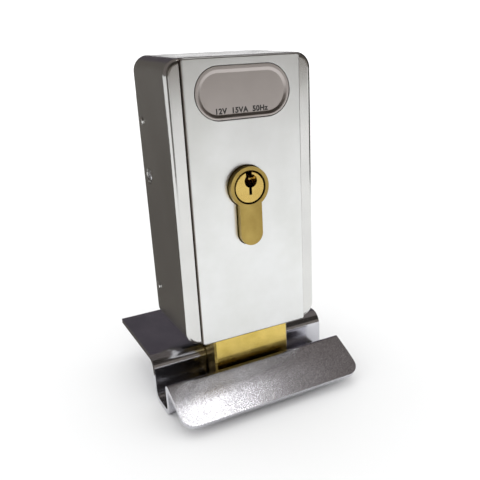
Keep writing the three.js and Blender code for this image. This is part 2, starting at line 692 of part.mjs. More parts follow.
function circlip() {
  const from = CYL_LENGTH + GAP + 0.1;
  const y = [from, from + CLIP_T];
  const ring = bar('y', STUB_R + 1.8, y);
  const inner = bar('y', STUB_R - CLIP_GROOVE + 0.2, [y[0] - 1, y[1] + 1]);
  const mouth = box([-2, 2], [y[0] - 1, y[1] + 1], [0, STUB_R + 3]);
  return carve([ring], [inner, mouth]);
}

function keyPin() {
  return turned([
    [0, 0], [PIN_R * 0.8, 0], [PIN_R, 0.3], [PIN_R, KEY_PIN_L - 0.8], [0.5, KEY_PIN_L],
    [0, KEY_PIN_L],
  ], 12);
}

function driverPin() {
  return turned([
    [0, 0], [PIN_R - 0.2, 0], [PIN_R, 0.2], [PIN_R, DRIVER_L - 0.2], [PIN_R - 0.2, DRIVER_L],
    [0, DRIVER_L],
  ], 12);
}

// ---------------------------------------------------------------- bolt and carriage

function dropBolt() {
  const outline = new THREE.Shape();
  outline.moveTo(BOLT_FRONT + BOLT_TIP, -BOLT_THROW);
  outline.lineTo(BOLT_BACK - BOLT_TAPER - BOLT_TIP, -BOLT_THROW);
  outline.lineTo(BOLT_BACK - BOLT_TAPER, -BOLT_THROW + BOLT_TIP);
  outline.lineTo(BOLT_BACK, BOLT_TAPER_TOP);
  outline.lineTo(BOLT_BACK, BOLT_TOP);
  outline.lineTo(BOLT_FRONT, BOLT_TOP);
  outline.lineTo(BOLT_FRONT, -BOLT_THROW + BOLT_TIP);
  outline.closePath();
  const block = extrude(outline, 'yz', [-BOLT_W / 2, BOLT_W / 2]);
  const diagonal = BOLT_CHAMFER * Math.SQRT2;
  const chamfers = [-1, 1].map((side) => (
    new THREE.BoxGeometry(diagonal, diagonal, 2 * (BOLT_THROW + BOLT_TOP))
      .rotateZ(Math.PI / 4)
      .translate(side * BOLT_W / 2, BOLT_FRONT, 0)
  ));
  const floor = BOLT_TOP - ROD_IN_BOLT - STROKE - 2;
  const rods = [-ROD_X, ROD_X].map((x) => (
    bar('z', ROD_R + RUN, [floor, BOLT_TOP + 1], [x, ROD_Y])
  ));
  const threads = carriageScrewPlaces().map(([x, z]) => (
    bar('y', CARRIAGE_SCREW_R + GAP / 2, [BOLT_BACK - CARRIAGE_SCREW_L, BOLT_BACK + 1], [x, z])
  ));
  return carve([block], [...chamfers, ...rods, ...threads]);
}

function carriageScrewPlaces() {
  const z = (CARRIAGE_LOW + BOLT_TOP) / 2;
  return [[-CARRIAGE_SCREW_X, z], [CARRIAGE_SCREW_X, z]];
}

// A plate behind the bolt with two arms: the left one carries the ledge that the cam lifts,
// and the right one hooks into the plunger.  Over the bolt each arm steps from the plate's
// plane to its own, which passes in front of the cylinder's screw.
function boltCarriage() {
  const plateY = [CARRIAGE_FRONT, CARRIAGE_FRONT + CARRIAGE_T];
  const armY = [ARM_FRONT, ARM_FRONT + CARRIAGE_T];
  const stepY = [Math.min(plateY[0], armY[0]), Math.max(plateY[1], armY[1])];
  const step = [BOLT_TOP + GAP, BOLT_TOP + GAP + CARRIAGE_T];
  const left = [CYL_X - ARM_IN - ARM_W, CYL_X - ARM_IN];
  const right = [COIL_X - ARM_W / 2, COIL_X + ARM_W / 2];
  const joined = [box([left[0], right[1]], plateY, [CARRIAGE_LOW, BOLT_TOP])];
  for (const [x, top] of [[left, LEDGE_Z + CARRIAGE_T], [right, LINK_PIN_Z]]) {
    joined.push(box(x, plateY, [BOLT_TOP - 1, step[1]]));
    joined.push(box(x, stepY, step));
    joined.push(box(x, armY, [step[0], top]));
  }
  const camBack = CAM_Y + CAM_SLOT / 2 - GAP;
  const ledge = [left[0], CYL_X - LEDGE_IN];
  joined.push(box(ledge, [ARM_FRONT, camBack], [LEDGE_Z, LEDGE_Z + CARRIAGE_T]));
  joined.push(bar('y', ARM_W / 2, armY, [COIL_X, LINK_PIN_Z]));
  const through = [stepY[0] - 1, stepY[1] + 1];
  const holes = carriageScrewPlaces().map((at) => (
    bar('y', CARRIAGE_SCREW_R + GAP / 2, through, at)
  ));
  holes.push(bar('y', LINK_PIN_R + GAP / 2, through, [COIL_X, LINK_PIN_Z]));
  return carve(joined, holes);
}

function boltGuide() {
  const z = [GUIDE_Z, GUIDE_Z + GUIDE_H];
  const x = CASE_W / 2 - CASE_CORNER;
  const ring = box([-x, x], [CASE_WALL + GAP, BOLT_BACK + GUIDE_WALL], z);
  const slot = box(
    [-BOLT_W / 2 - RUN, BOLT_W / 2 + RUN],
    [BOLT_FRONT - RUN, BOLT_BACK + RUN], [z[0] - 1, z[1] + 1],
  );
  return carve([ring], [slot]);
}

function guideRod() {
  const seat = SHELF_Z + CHASSIS_T + GAP;
  const top = seat + ROD_HEAD_H;
  const low = BOLT_TOP - ROD_IN_BOLT;
  return turned([
    [0, low], [ROD_R - 0.5, low], [ROD_R, low + 0.8], [ROD_R, seat], [ROD_HEAD_R, seat],
    [ROD_HEAD_R, top - 0.6], [ROD_HEAD_R - 0.6, top], [0, top],
  ]);
}

// ---------------------------------------------------------------- lifting coil

// The coil's pieces are drawn about the plunger's axis at the lock's own heights.
function coilYoke() {
  const x = [-YOKE_W / 2, YOKE_W / 2];
  const back = BACK_INNER - GAP - ARM_MID;
  const y = [YOKE_FRONT - ARM_MID, back];
  const top = COIL_Z + COIL_H;
  const plates = [
    box(x, y, [COIL_Z, COIL_Z + YOKE_T]),
    box(x, y, [top - YOKE_T, top]),
    box(x, [back - YOKE_T, back], [COIL_Z, top]),
  ];
  const cuts = [
    bar('z', PLUNGER_R + RUN, [COIL_Z - 1, COIL_Z + YOKE_T + 1]),
    bar('z', CORE_NECK_R + GAP / 2, [top - YOKE_T - 1, top + 1]),
    ...yokeScrewHeights().map((z) => (
      bar('y', YOKE_SCREW_R + GAP / 2, [back - YOKE_T - 1, back + 1], [0, z])
    )),
  ];
  return carve(plates, cuts);
}

function bobbinEnds() {
  return [COIL_Z + YOKE_T + GAP, COIL_Z + COIL_H - YOKE_T - GAP];
}

function coilBobbin() {
  const [low, high] = bobbinEnds();
  const inner = PLUNGER_R + RUN;
  const tube = inner + BOBBIN_TUBE;
  const from = low + BOBBIN_FLANGE;
  const to = high - BOBBIN_FLANGE;
  return turned([
    [inner, low], [BOBBIN_R, low], [BOBBIN_R, from], [tube, from], [tube, to],
    [BOBBIN_R, to], [BOBBIN_R, high], [inner, high], [inner, low],
  ], 40);
}

function coilWinding() {
  const [low, high] = bobbinEnds();
  const inner = PLUNGER_R + RUN + BOBBIN_TUBE + GAP;
  const from = low + BOBBIN_FLANGE + GAP;
  const to = high - BOBBIN_FLANGE - GAP;
  return turned([
    [inner, from], [WINDING_R, from], [WINDING_R, to], [inner, to], [inner, from],
  ], 40);
}

// The fixed core hangs from the top of the yoke by its turned-down neck.
function coilCore() {
  const low = CORE_TOP - CORE_L;
  const end = CORE_TOP + GAP + YOKE_T + CORE_RIVET;
  return turned([
    [0, low], [PLUNGER_R - 1, low], [PLUNGER_R, low + 1], [PLUNGER_R, CORE_TOP],
    [CORE_NECK_R, CORE_TOP], [CORE_NECK_R, end], [0, end],
  ], 32);
}

function plunger() {
  const body = turned([
    [0, PLUNGER_LOW], [PLUNGER_R, PLUNGER_LOW], [PLUNGER_R, PLUNGER_TOP - 1],
    [PLUNGER_R - 1, PLUNGER_TOP], [0, PLUNGER_TOP],
  ], 32);
  const half = CARRIAGE_T / 2 + GAP;
  const across = [-PLUNGER_R - 1, PLUNGER_R + 1];
  const fork = box(across, [-half, half], [PLUNGER_LOW - 1, LINK_PIN_Z + ARM_W / 2 + 1]);
  const eye = bar('y', LINK_PIN_R + GAP / 2, across, [0, LINK_PIN_Z]);
  return carve([body], [fork, eye]);
}

function plungerPin() {
  const half = PLUNGER_R - LINK_PIN_SHY;
  return bar('y', LINK_PIN_R, [-half, half]);
}

// ---------------------------------------------------------------- wiring

function terminalPlaces() {
  const pitch = TERMINAL_W / TERMINAL_POLES;
  return Array.from({ length: TERMINAL_POLES }, (_, i) => (i + 0.5) * pitch - TERMINAL_W / 2);
}

// Drawn about the middle of its lower rear edge.
function terminalBlock() {
  const body = box([-TERMINAL_W / 2, TERMINAL_W / 2], [-TERMINAL_D, 0], [0, TERMINAL_H]);
  const cuts = terminalPlaces().flatMap((x) => [
    bar('y', TERMINAL_FUNNEL_R, [-TERMINAL_D - 1, -TERMINAL_D + 5], [x, TERMINAL_H / 2]),
    box([x - 2.2, x + 2.2], [-TERMINAL_D + 6, -4], [TERMINAL_H - 5, TERMINAL_H + 1]),
    box([x - 2.2, x + 2.2], [-TERMINAL_D + 6, -4], [-1, 5]),
  ]);
  cuts.push(box([-0.5, 0.5], [-TERMINAL_D - 1, -TERMINAL_D + 3], [-1, TERMINAL_H + 1]));
  return carve([body], cuts);
}

function cableGrommet() {
  const depth = CHASSIS_T + GAP;
  const outer = GROMMET_R - GAP;
  return turned([
    [CABLE_R, -depth - 2], [outer + 1.8, -depth - 2], [outer + 2.2, -depth - 1.6],
    [outer + 2.2, -depth], [outer, -depth], [outer, -0.2], [CABLE_R, -0.2],
    [CABLE_R, -depth - 2],
  ]);
}

// ---------------------------------------------------------------- assembly

const electricLock = new THREE.Group();
add(electricLock, 'strike_plate', strikePlate(), zincSteel(), [0, LOCK_Y, LOCK_Z]);

const lock = new THREE.Group();
lock.position.set(0, LOCK_Y, LOCK_Z);
electricLock.add(lock);

add(lock, 'case_shell', caseShell(), satinSteel());
add(lock, 'front_cover', frontCover(), coverSteel());
add(lock, 'badge_plate', badgePlate(), badgeSteel(),
  [BADGE_X, -COVER_PROUD, CASE_H - BADGE_TOP - BADGE_H / 2]);
add(lock, 'chassis', chassis(), platedSteel());
add(lock, 'bolt_guide', boltGuide(), nylon());

for (const [name, side] of [['left', -1], ['right', 1]]) {
  const outward = [0, side * Math.PI / 2, 0];
  const seatX = side * (CASE_W / 2 - SIDE_SCREW_SUNK + GAP / 2);
  add(lock, `side_screw_${name}`,
    panScrew(SIDE_SCREW_R, SIDE_SCREW_L, SIDE_SCREW_HEAD_R, 0.7), platedSteel(),
    [seatX, REAR - SIDE_SCREW_Y, SIDE_SCREW_Z], outward);
  for (const [level, z] of [['lower', RIVET_Z[0]], ['upper', RIVET_Z[1]]]) {
    add(lock, `case_rivet_${name}_${level}`, caseRivet(), platedSteel(),
      [side * CASE_W / 2, REAR - RIVET_Y, z], outward);
  }
  add(lock, `guide_rod_${name}`, guideRod(), darkSteel(), [side * ROD_X, ROD_Y, 0]);
  const length = SHELF_Z - BOLT_TOP - 2 * GAP;
  add(lock, `bolt_spring_${name}`,
    helix(SPRING_R, SPRING_WIRE, SPRING_TURNS, length, 14, 3), springSteel(),
    [side * ROD_X, ROD_Y, BOLT_TOP + GAP]);
}

const coil = new THREE.Group();
coil.position.set(COIL_X, ARM_MID, 0);
lock.add(coil);
add(coil, 'coil_yoke', coilYoke(), darkSteel());
add(coil, 'coil_bobbin', coilBobbin(), blackPlastic());
add(coil, 'coil_winding', coilWinding(), copper());
add(coil, 'coil_core', coilCore(), platedSteel());
add(coil, 'plunger', plunger(), platedSteel());
add(coil, 'plunger_pin', plungerPin(), darkSteel(), [0, 0, LINK_PIN_Z]);
yokeScrewHeights().forEach((z, i) => {
  add(lock, `yoke_screw_${i + 1}`,
    sunkScrew(YOKE_SCREW_R, YOKE_SCREW_L, YOKE_HEAD_R, 1.5), platedSteel(),
    [COIL_X, REAR - GAP, z], [-Math.PI / 2, 0, 0]);
});

const cylinder = new THREE.Group();
cylinder.position.set(CYL_X, FACE_Y, CYL_Z);
lock.add(cylinder);
add(cylinder, 'cylinder_body', cylinderBody(), bodyBrass());
add(cylinder, 'cylinder_plug', cylinderPlug(), plugBrass());
add(cylinder, 'cylinder_cam', cylinderCam(), darkSteel());
add(cylinder, 'circlip', circlip(), springSteel());
pinPlaces().forEach((y, i) => {
  const number = i + 1;
  const floor = TAIL_Z + CHAMBER_FLOOR + GAP;
  const driver = -BORE_R - DRIVER_L - GAP;
  add(cylinder, `key_pin_${number}`, keyPin(), plugBrass(), [0, y, -PLUG_R + 0.05]);
  add(cylinder, `driver_pin_${number}`, driverPin(), plugBrass(), [0, y, driver]);
  add(cylinder, `pin_spring_${number}`,
    helix(PIN_R - 0.35, PIN_WIRE, PIN_TURNS, driver - GAP - floor, 8, 2), springSteel(),
    [0, y, floor]);
});
add(lock, 'cylinder_screw',
  sunkScrew(CYL_SCREW_R, CHASSIS_HALF + CYL_X + CYL_SCREW_PAST, CYL_SCREW_HEAD_R, 1.8),
  platedSteel(),
  [-CHASSIS_HALF + GAP, CAM_Y, CYL_Z + CYL_SCREW_Z], [0, -Math.PI / 2, 0]);

add(lock, 'bolt', dropBolt(), boltBrass());
add(lock, 'bolt_carriage', boltCarriage(), platedSteel());
carriageScrewPlaces().forEach(([x, z], i) => {
  add(lock, `carriage_screw_${i + 1}`,
    panScrew(CARRIAGE_SCREW_R, CARRIAGE_SCREW_L, CARRIAGE_HEAD_R, 2), platedSteel(),
    [x, CARRIAGE_FRONT + CARRIAGE_T + GAP, z], [-Math.PI / 2, 0, 0]);
});

const wiring = new THREE.Group();
wiring.position.set(TERMINAL_X, BACK_INNER - GAP, TERMINAL_Z);
lock.add(wiring);
add(wiring, 'terminal_block', terminalBlock(), nylon());
terminalPlaces().forEach((x, i) => {
  add(wiring, `terminal_screw_${i + 1}`,
    panScrew(TERMINAL_SCREW_R, 0.8, TERMINAL_HEAD_R, 1.4), platedSteel(),
    [x, -TERMINAL_D + 3.2, TERMINAL_H / 2], [Math.PI / 2, 0, 0]);
});
add(lock, 'cable_grommet', cableGrommet(), rubber(),
  [GROMMET_X, REAR, GROMMET_Z], [-Math.PI / 2, 0, 0]);

export default electricLock;
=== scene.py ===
# An electric gate lock standing over its strike plate: metres, +X right, +Y to the rear, +Z up.
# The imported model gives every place; each section below makes one piece or group of like pieces.

import json
import math

import bmesh
import bpy
from mathutils import Matrix, Vector


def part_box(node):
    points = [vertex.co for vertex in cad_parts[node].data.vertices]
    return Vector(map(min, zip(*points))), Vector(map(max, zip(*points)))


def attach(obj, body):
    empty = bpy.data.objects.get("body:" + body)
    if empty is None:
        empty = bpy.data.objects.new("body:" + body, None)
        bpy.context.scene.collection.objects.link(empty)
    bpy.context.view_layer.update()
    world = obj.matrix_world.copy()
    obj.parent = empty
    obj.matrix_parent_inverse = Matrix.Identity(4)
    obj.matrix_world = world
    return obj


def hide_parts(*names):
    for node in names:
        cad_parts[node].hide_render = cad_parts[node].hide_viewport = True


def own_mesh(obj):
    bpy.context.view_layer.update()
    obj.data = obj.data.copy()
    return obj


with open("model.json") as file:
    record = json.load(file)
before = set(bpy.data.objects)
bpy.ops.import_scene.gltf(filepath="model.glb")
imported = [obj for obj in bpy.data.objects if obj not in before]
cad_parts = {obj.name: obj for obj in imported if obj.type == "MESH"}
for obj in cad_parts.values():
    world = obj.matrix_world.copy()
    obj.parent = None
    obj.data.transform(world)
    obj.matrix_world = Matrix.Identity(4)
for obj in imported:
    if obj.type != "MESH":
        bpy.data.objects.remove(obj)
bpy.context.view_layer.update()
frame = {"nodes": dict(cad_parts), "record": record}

# ---------------------------------------------------------------- strike plate
# One strip of galvanised steel sheet, folded on a press brake: a flat rear flange that lies on
# the ground, a channel that takes the bolt, and a ramp that lifts the bolt as the gate closes.

MM = 0.001


def solid(name, mesh):
    """Makes an object from a finished bmesh."""
    data = bpy.data.meshes.new(name)
    mesh.to_mesh(data)
    mesh.free()
    made = bpy.data.objects.new(name, data)
    bpy.context.scene.collection.objects.link(made)
    return made


def put(name, mesh, body, slot, *nodes):
    """Makes a piece from a finished bmesh, riding on a body in place of CAD nodes."""
    piece = solid(name, mesh)
    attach(piece, body)
    if nodes:
        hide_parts(*nodes)
    return piece


def finished(piece):
    """Applies the piece's modifiers to its mesh."""
    bpy.context.view_layer.update()
    evaluated = piece.evaluated_get(bpy.context.evaluated_depsgraph_get())
    piece.data = bpy.data.meshes.new_from_object(evaluated)
    piece.modifiers.clear()


def settle(piece, sharp=38, flatten=True):
    """Applies the modifiers, then shades smooth between edges that turn less than sharp degrees.

    Broad faces stay flat up to their rounded edges when flatten is set.
    """
    finished(piece)
    piece.data.shade_smooth()
    piece.data.set_sharp_from_angle(angle=math.radians(sharp))
    if flatten:
        weigh = piece.modifiers.new("flat_faces", "WEIGHTED_NORMAL")
        weigh.weight = 100
        weigh.keep_sharp = True
        finished(piece)


def ease(piece, width, segments=2, angle=50):
    """Takes the sharpness off edges that turn more than angle degrees, as deburring does."""
    modifier = piece.modifiers.new("eased_edges", "BEVEL")
    modifier.width = width
    modifier.segments = segments
    modifier.limit_method = "ANGLE"
    modifier.angle_limit = math.radians(angle)
    modifier.harden_normals = False
    modifier.use_clamp_overlap = True


def bevel(mesh, parts, width, segments, affect="EDGES"):
    """Rounds edges, or the corners of an open sheet; one segment makes a chamfer."""
    bmesh.ops.bevel(
        mesh, geom=parts, offset=width, offset_type="OFFSET", segments=segments,
        profile=0.5, affect=affect, material=-1,
    )


plate_low, plate_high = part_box("strike_plate")
sheet = plate_high.z
wall_y = -26.25 * MM      # middle of the channel's rear wall
front_y = -41.65 * MM     # middle of the channel's front wall
fold_z = -3.8 * MM        # where the front wall turns over into the ramp
ramp_slope = 26           # degrees below level
crown_turn = 5            # the ramp bulges by a bend of this many degrees
crown_rise = 0.45 * MM
tip_room = 0.05 * MM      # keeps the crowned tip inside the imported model's box
tip_corner = 6 * MM
smallest = 1e-6           # closer than this is the same place

slope = math.radians(ramp_slope)
tip_y = plate_low.y + sheet / 2 * math.sin(slope) + tip_room
tip_z = fold_z - (front_y - tip_y) * math.tan(slope)
profile = [
    (plate_high.y, sheet / 2),
    (wall_y, sheet / 2),
    (wall_y, plate_low.z + sheet / 2),
    (front_y, plate_low.z + sheet / 2),
    (front_y, fold_z),
    ((front_y + tip_y) / 2, (fold_z + tip_z) / 2 + crown_rise),
    (tip_y, tip_z),
]
# Each fold's radius along the sheet's middle line, in mm, and its turn in degrees.
folds = [(5, 90), (4.4, 90), (3, 90), (1.2, 90 + ramp_slope + crown_turn / 2), (60, crown_turn)]
strip = bmesh.new()
line = [strip.verts.new((plate_low.x, y, z)) for y, z in profile]
edges = [strip.edges.new(pair) for pair in zip(line, line[1:])]
swept = bmesh.ops.extrude_edge_only(strip, edges=edges)["geom"]
bmesh.ops.translate(
    strip, vec=(plate_high.x - plate_low.x, 0, 0),
    verts=[g for g in swept if isinstance(g, bmesh.types.BMVert)],
)
tips = [v for v in strip.verts if abs(v.co.y - tip_y) < smallest]
bevel(strip, tips, tip_corner, 10, "VERTICES")
for (y, z), (radius, turn) in zip(profile[1:6], folds):
    fold = [
        e for e in strip.edges
        if all(abs(v.co.y - y) < smallest and abs(v.co.z - z) < smallest for v in e.verts)
    ]
    bevel(strip, fold, radius * MM * math.tan(math.radians(turn) / 2), 10)
bmesh.ops.recalc_face_normals(strip, faces=strip.faces)
strike = put("strike", strip, "strike", "zinc_steel", "strike_plate")
thickness = strike.modifiers.new("sheet", "SOLIDIFY")
thickness.thickness = sheet
thickness.offset = 0
thickness.use_even_offset = True
ease(strike, 1.05 * MM, 6)
settle(strike)


def node(tree, kind, place, **settings):
    """Adds a shader node at a place in the node editor."""
    made = tree.nodes.new(kind)
    made.location = place
    for key, value in settings.items():
        setattr(made, key, value)
    return made


def blank(name):
    """An empty principled material; returns it with its tree, shader and object coordinates."""
    material = bpy.data.materials.new(name)
    material.use_nodes = True
    tree = material.node_tree
    shader = tree.nodes["Principled BSDF"]
    coords = node(tree, "ShaderNodeTexCoord", (-1400, 0)).outputs["Object"]
    return material, tree, shader, coords


def noise(tree, coords, per_metre, place, stretch=(1, 1, 1), detail=4):
    """A noise pattern on object coordinates, with so many features in a metre."""
    mapping = node(tree, "ShaderNodeMapping", (place[0] - 200, place[1]))
    mapping.inputs["Scale"].default_value = stretch
    tree.links.new(coords, mapping.inputs["Vector"])
    made = node(tree, "ShaderNodeTexNoise", place)
    made.inputs["Scale"].default_value = per_metre
    made.inputs["Detail"].default_value = detail
    made.inputs["Roughness"].default_value = 0.6
    tree.links.new(mapping.outputs["Vector"], made.inputs["Vector"])
    return made.outputs["Fac"]


def spread(tree, source, start, end, low, high, place):
    """Maps a value that runs from start to end onto low to high."""
    made = node(tree, "ShaderNodeMapRange", place)
    made.inputs["From Min"].default_value = start
    made.inputs["From Max"].default_value = end
    made.inputs["To Min"].default_value = low
    made.inputs["To Max"].default_value = high
    tree.links.new(source, made.inputs["Value"])
    return made.outputs["Result"]


noise_low, noise_high = 0.3, 0.7     # nearly all of a noise pattern lies between these


def grey(tree, pattern, low, high, place):
    """Turns a noise pattern into a value between two."""
    return spread(tree, pattern, noise_low, noise_high, low, high, place)


def tint(tree, pattern, dark, light, place):
    """Turns a noise pattern into a colour between two."""
    ramp = node(tree, "ShaderNodeValToRGB", place)
    ramp.color_ramp.elements[0].position = noise_low
    ramp.color_ramp.elements[0].color = (*dark, 1)
    ramp.color_ramp.elements[1].position = noise_high
    ramp.color_ramp.elements[1].color = (*light, 1)
    tree.links.new(pattern, ramp.inputs["Fac"])
    return ramp.outputs["Color"]


def mixed(tree, share, first, second, place):
    """Blends two colours; the second may be plain."""
    mix = node(tree, "ShaderNodeMix", place, data_type="RGBA")
    tree.links.new(share, mix.inputs["Factor"])
    tree.links.new(first, mix.inputs["A"])
    if isinstance(second, tuple):
        mix.inputs["B"].default_value = (*second, 1)
    else:
        tree.links.new(second, mix.inputs["B"])
    return mix.outputs["Result"]


def relief(tree, shader, pattern, strength, depth):
    """Gives the surface the fine relief of a pattern."""
    bump = node(tree, "ShaderNodeBump", (-300, -200))
    bump.inputs["Strength"].default_value = strength
    bump.inputs["Distance"].default_value = depth
    tree.links.new(pattern, bump.inputs["Height"])
    tree.links.new(bump.outputs["Normal"], shader.inputs["Normal"])
    return bump


def paint(piece, material):
    """Gives a piece one material."""
    piece.data.materials.clear()
    piece.data.materials.append(material)


def galvanised():
    """Bright zinc on steel sheet: smooth where it was rolled, with a fine sparkle on the ramp."""
    material, tree, shader, coords = blank("galvanised_zinc")
    flakes = noise(tree, coords, 2400, (-900, 600), detail=0)
    cloud = noise(tree, coords, 70, (-900, 0))
    plain = tint(tree, cloud, (0.58, 0.58, 0.62), (0.68, 0.68, 0.72), (-500, 300))
    speckled = tint(tree, flakes, (0.42, 0.41, 0.44), (0.88, 0.88, 0.92), (-500, 600))
    place = node(tree, "ShaderNodeSeparateXYZ", (-900, -300))
    tree.links.new(coords, place.inputs["Vector"])
    on_ramp = spread(
        tree, place.outputs["Y"], front_y + 2 * MM, front_y - 3 * MM, 0.02, 0.8, (-700, -300),
    )
    colour = mixed(tree, on_ramp, plain, speckled, (-200, 300))
    tree.links.new(colour, shader.inputs["Base Color"])
    rough = node(tree, "ShaderNodeMath", (-500, -100), operation="MULTIPLY_ADD")
    tree.links.new(on_ramp, rough.inputs[0])
    rough.inputs[1].default_value = 0.08
    tree.links.new(grey(tree, cloud, 0.13, 0.18, (-700, 0)), rough.inputs[2])
    tree.links.new(rough.outputs["Value"], shader.inputs["Roughness"])
    bump = relief(tree, shader, flakes, 1, 0.03 * MM)
    tree.links.new(on_ramp, bump.inputs["Strength"])
    shader.inputs["Metallic"].default_value = 1
    return material


paint(strike, galvanised())

# ---------------------------------------------------------------- case
# A deep-drawn box of satin stainless steel, open at the rear, with rounded corners.  It slides
# over the chassis; it is pierced for the cylinder, the bolt and the side fixings.


def rounded_block(low, high, corner, segments, axis="y"):
    """A block whose four edges along one axis are rounded."""
    mesh = bmesh.new()
    bmesh.ops.create_cube(mesh, size=1)
    size = high - low
    bmesh.ops.scale(mesh, vec=size, verts=mesh.verts)
    bmesh.ops.translate(mesh, vec=(low + high) / 2, verts=mesh.verts)
    along = "xyz".index(axis)
    if corner > 0:
        running = [
            e for e in mesh.edges
            if abs(e.verts[0].co[along] - e.verts[1].co[along]) > size[along] / 2
        ]
        bevel(mesh, running, corner, segments)
    return mesh


def rim(mesh, along, place):
    """The edges that lie wholly in the plane at place on one axis."""
    axis = "xyz".index(along)
    return [e for e in mesh.edges if all(abs(v.co[axis] - place) < smallest for v in e.verts)]


def rod(axis, radius, start, end, at, segments=64):
    """A round bar along one axis; at is its centre on the other two axes."""
    mesh = bmesh.new()
    bmesh.ops.create_cone(
        mesh, cap_ends=True, segments=segments, radius1=radius, radius2=radius, depth=end - start,
    )
    turn = {"x": Matrix.Rotation(math.pi / 2, 4, "Y"), "y": Matrix.Rotation(math.pi / 2, 4, "X")}
    bmesh.ops.transform(mesh, matrix=turn.get(axis, Matrix()), verts=mesh.verts)
    centre = list(at)
    centre.insert("xyz".index(axis), (start + end) / 2)
    bmesh.ops.translate(mesh, vec=centre, verts=mesh.verts)
    return mesh


def combine(piece, meshes, operation="DIFFERENCE"):
    """Cuts shapes out of a piece, or joins them to it; each is used once and thrown away."""
    tools = [solid("tool", mesh) for mesh in meshes]
    for made in tools:
        modifier = piece.modifiers.new("cut", "BOOLEAN")
        modifier.operation = operation
        modifier.solver = "EXACT"
        modifier.object = made
    finished(piece)
    for made in tools:
        bpy.data.objects.remove(made)


body_low, body_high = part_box("cylinder_body")
head_radius = 8.5 * MM
tail_half = 5 * MM
key_x = (body_low.x + body_high.x) / 2
key_z = body_high.z - head_radius
key_axis = (key_x, key_z)


def key_profile(grow, start, end, segments=64):
    """The round-headed outline of a lock cylinder, as a round bar and a flat tail."""
    half = tail_half + grow
    head = rod("y", head_radius + grow, start, end, key_axis, segments)
    # Corners a hair under half the width leave a thin flat at the tail's end, which cuts cleanly.
    tail = rounded_block(
        Vector((key_x - half, start, body_low.z - grow)), Vector((key_x + half, end, key_z)),
        half * 0.999, segments // 4,
    )
    return head, tail


case_low, case_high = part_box("case_shell")
cover_low, cover_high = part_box("front_cover")
bolt_low, bolt_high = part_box("bolt")
wall = 1.5 * MM
gap = 0.3 * MM            # between pieces that fit into each other
run = 0.35 * MM           # round the sliding bolt
past = 5 * MM             # how far cutting shapes reach past a surface
inward = 4 * MM           # and how far they reach into the case
seat_gap = 1.6 * gap
seat_depth = 0.6 * MM
case_corner = 6.3 * MM
case_edge = 2.2 * MM
screw_seat = 3.3 * MM     # radius of the side screw's sunk seat
screw_sunk = 0.6 * wall   # how deep the seat lies
screw_hole = 3.1 * MM     # radius of the hole in it

shell = rounded_block(case_low, case_high, case_corner, 14)
rear = [f for f in shell.faces if f.normal.y > 0.9]
bmesh.ops.delete(shell, geom=rear, context="FACES_ONLY")
bevel(shell, rim(shell, "y", case_low.y), case_edge, 8)
case = put("case", shell, "lock", "satin_steel", "case_shell")
inside = case.modifiers.new("wall", "SOLIDIFY")
inside.thickness = wall
inside.offset = -1
inside.use_even_offset = True
seat = rounded_block(
    Vector((cover_low.x - seat_gap, case_low.y - past, case_low.z - past)),
    Vector((cover_high.x + seat_gap, case_low.y + seat_depth, case_high.z + past)), 0, 1,
)
bolt_hole = rounded_block(
    Vector((bolt_low.x - run, bolt_low.y - run, case_low.z - past)),
    Vector((bolt_high.x + run, bolt_high.y + run, case_low.z + inward)), 0.4 * MM, 3, "z",
)
cuts = [seat, bolt_hole, *key_profile(gap, case_low.y - past, case_low.y + inward)]
screw_low, screw_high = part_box("side_screw_left")
screw_at = ((screw_low.y + screw_high.y) / 2, (screw_low.z + screw_high.z) / 2)
for side in (-1, 1):
    outer = side * case_high.x
    sunk = sorted((outer + side * past, outer - side * screw_sunk))
    through = sorted((outer + side * past, outer - side * past))
    cuts.append(rod("x", screw_seat, *sunk, screw_at, 48))
    cuts.append(rod("x", screw_hole, *through, screw_at, 48))
combine(case, cuts)
ease(case, 0.15 * MM, 2, 60)
settle(case)


def satin_steel(name, dark, light, rough):
    """Brushed stainless steel: fine grain lines, faint clouds and a few smears."""
    material, tree, shader, coords = blank(name)
    clouds = noise(tree, coords, 35, (-900, 400))
    smears = noise(tree, coords, 60, (-900, 100), (1, 1, 0.5))
    lines = noise(tree, coords, 90, (-900, -200), (1, 1, 0.6), 1)
    tree.links.new(tint(tree, clouds, dark, light, (-500, 400)), shader.inputs["Base Color"])
    tree.links.new(grey(tree, smears, *rough, (-500, 100)), shader.inputs["Roughness"])
    relief(tree, shader, lines, 0.25, 0.04 * MM)
    shader.inputs["Metallic"].default_value = 1
    return material


def product(tree, first, second, place):
    """Multiplies two values."""
    both = node(tree, "ShaderNodeMath", place, operation="MULTIPLY")
    tree.links.new(first, both.inputs[0])
    tree.links.new(second, both.inputs[1])
    return both.outputs["Value"]


def between(tree, source, low, high, place):
    """1 where a value lies between two others, 0 elsewhere, with a short ramp at each end."""
    edge = 0.1 * MM
    above = spread(tree, source, low - edge, low + edge, 0, 1, place)
    below = spread(tree, source, high + edge, high - edge, 0, 1, (place[0], place[1] - 250))
    return product(tree, above, below, (place[0] + 200, place[1]))


def paint_groove_shade(material, x, y):
    """Paints shade into the steel's colour where the distance from x = 0 and y lie in ranges: a
    darker tone that stands in for the shadow in and beside the groove round the cover.
    """
    # The colour of the painted shade: a dark brown grey.
    groove_shade = (0.27, 0.24, 0.215)
    tree = material.node_tree
    colour = tree.nodes["Principled BSDF"].inputs["Base Color"]
    coords = node(tree, "ShaderNodeTexCoord", (-1400, -600)).outputs["Object"]
    place = node(tree, "ShaderNodeSeparateXYZ", (-1200, -600))
    tree.links.new(coords, place.inputs["Vector"])
    out = node(tree, "ShaderNodeMath", (-1000, -600), operation="ABSOLUTE")
    tree.links.new(place.outputs["X"], out.inputs[0])
    across = between(tree, out.outputs["Value"], *x, (-800, -600))
    deep = between(tree, place.outputs["Y"], *y, (-800, -1100))
    shade_mask = product(tree, across, deep, (-400, -600))
    unshaded = colour.links[0].from_socket
    tree.links.new(mixed(tree, shade_mask, unshaded, groove_shade, (-200, 400)), colour)


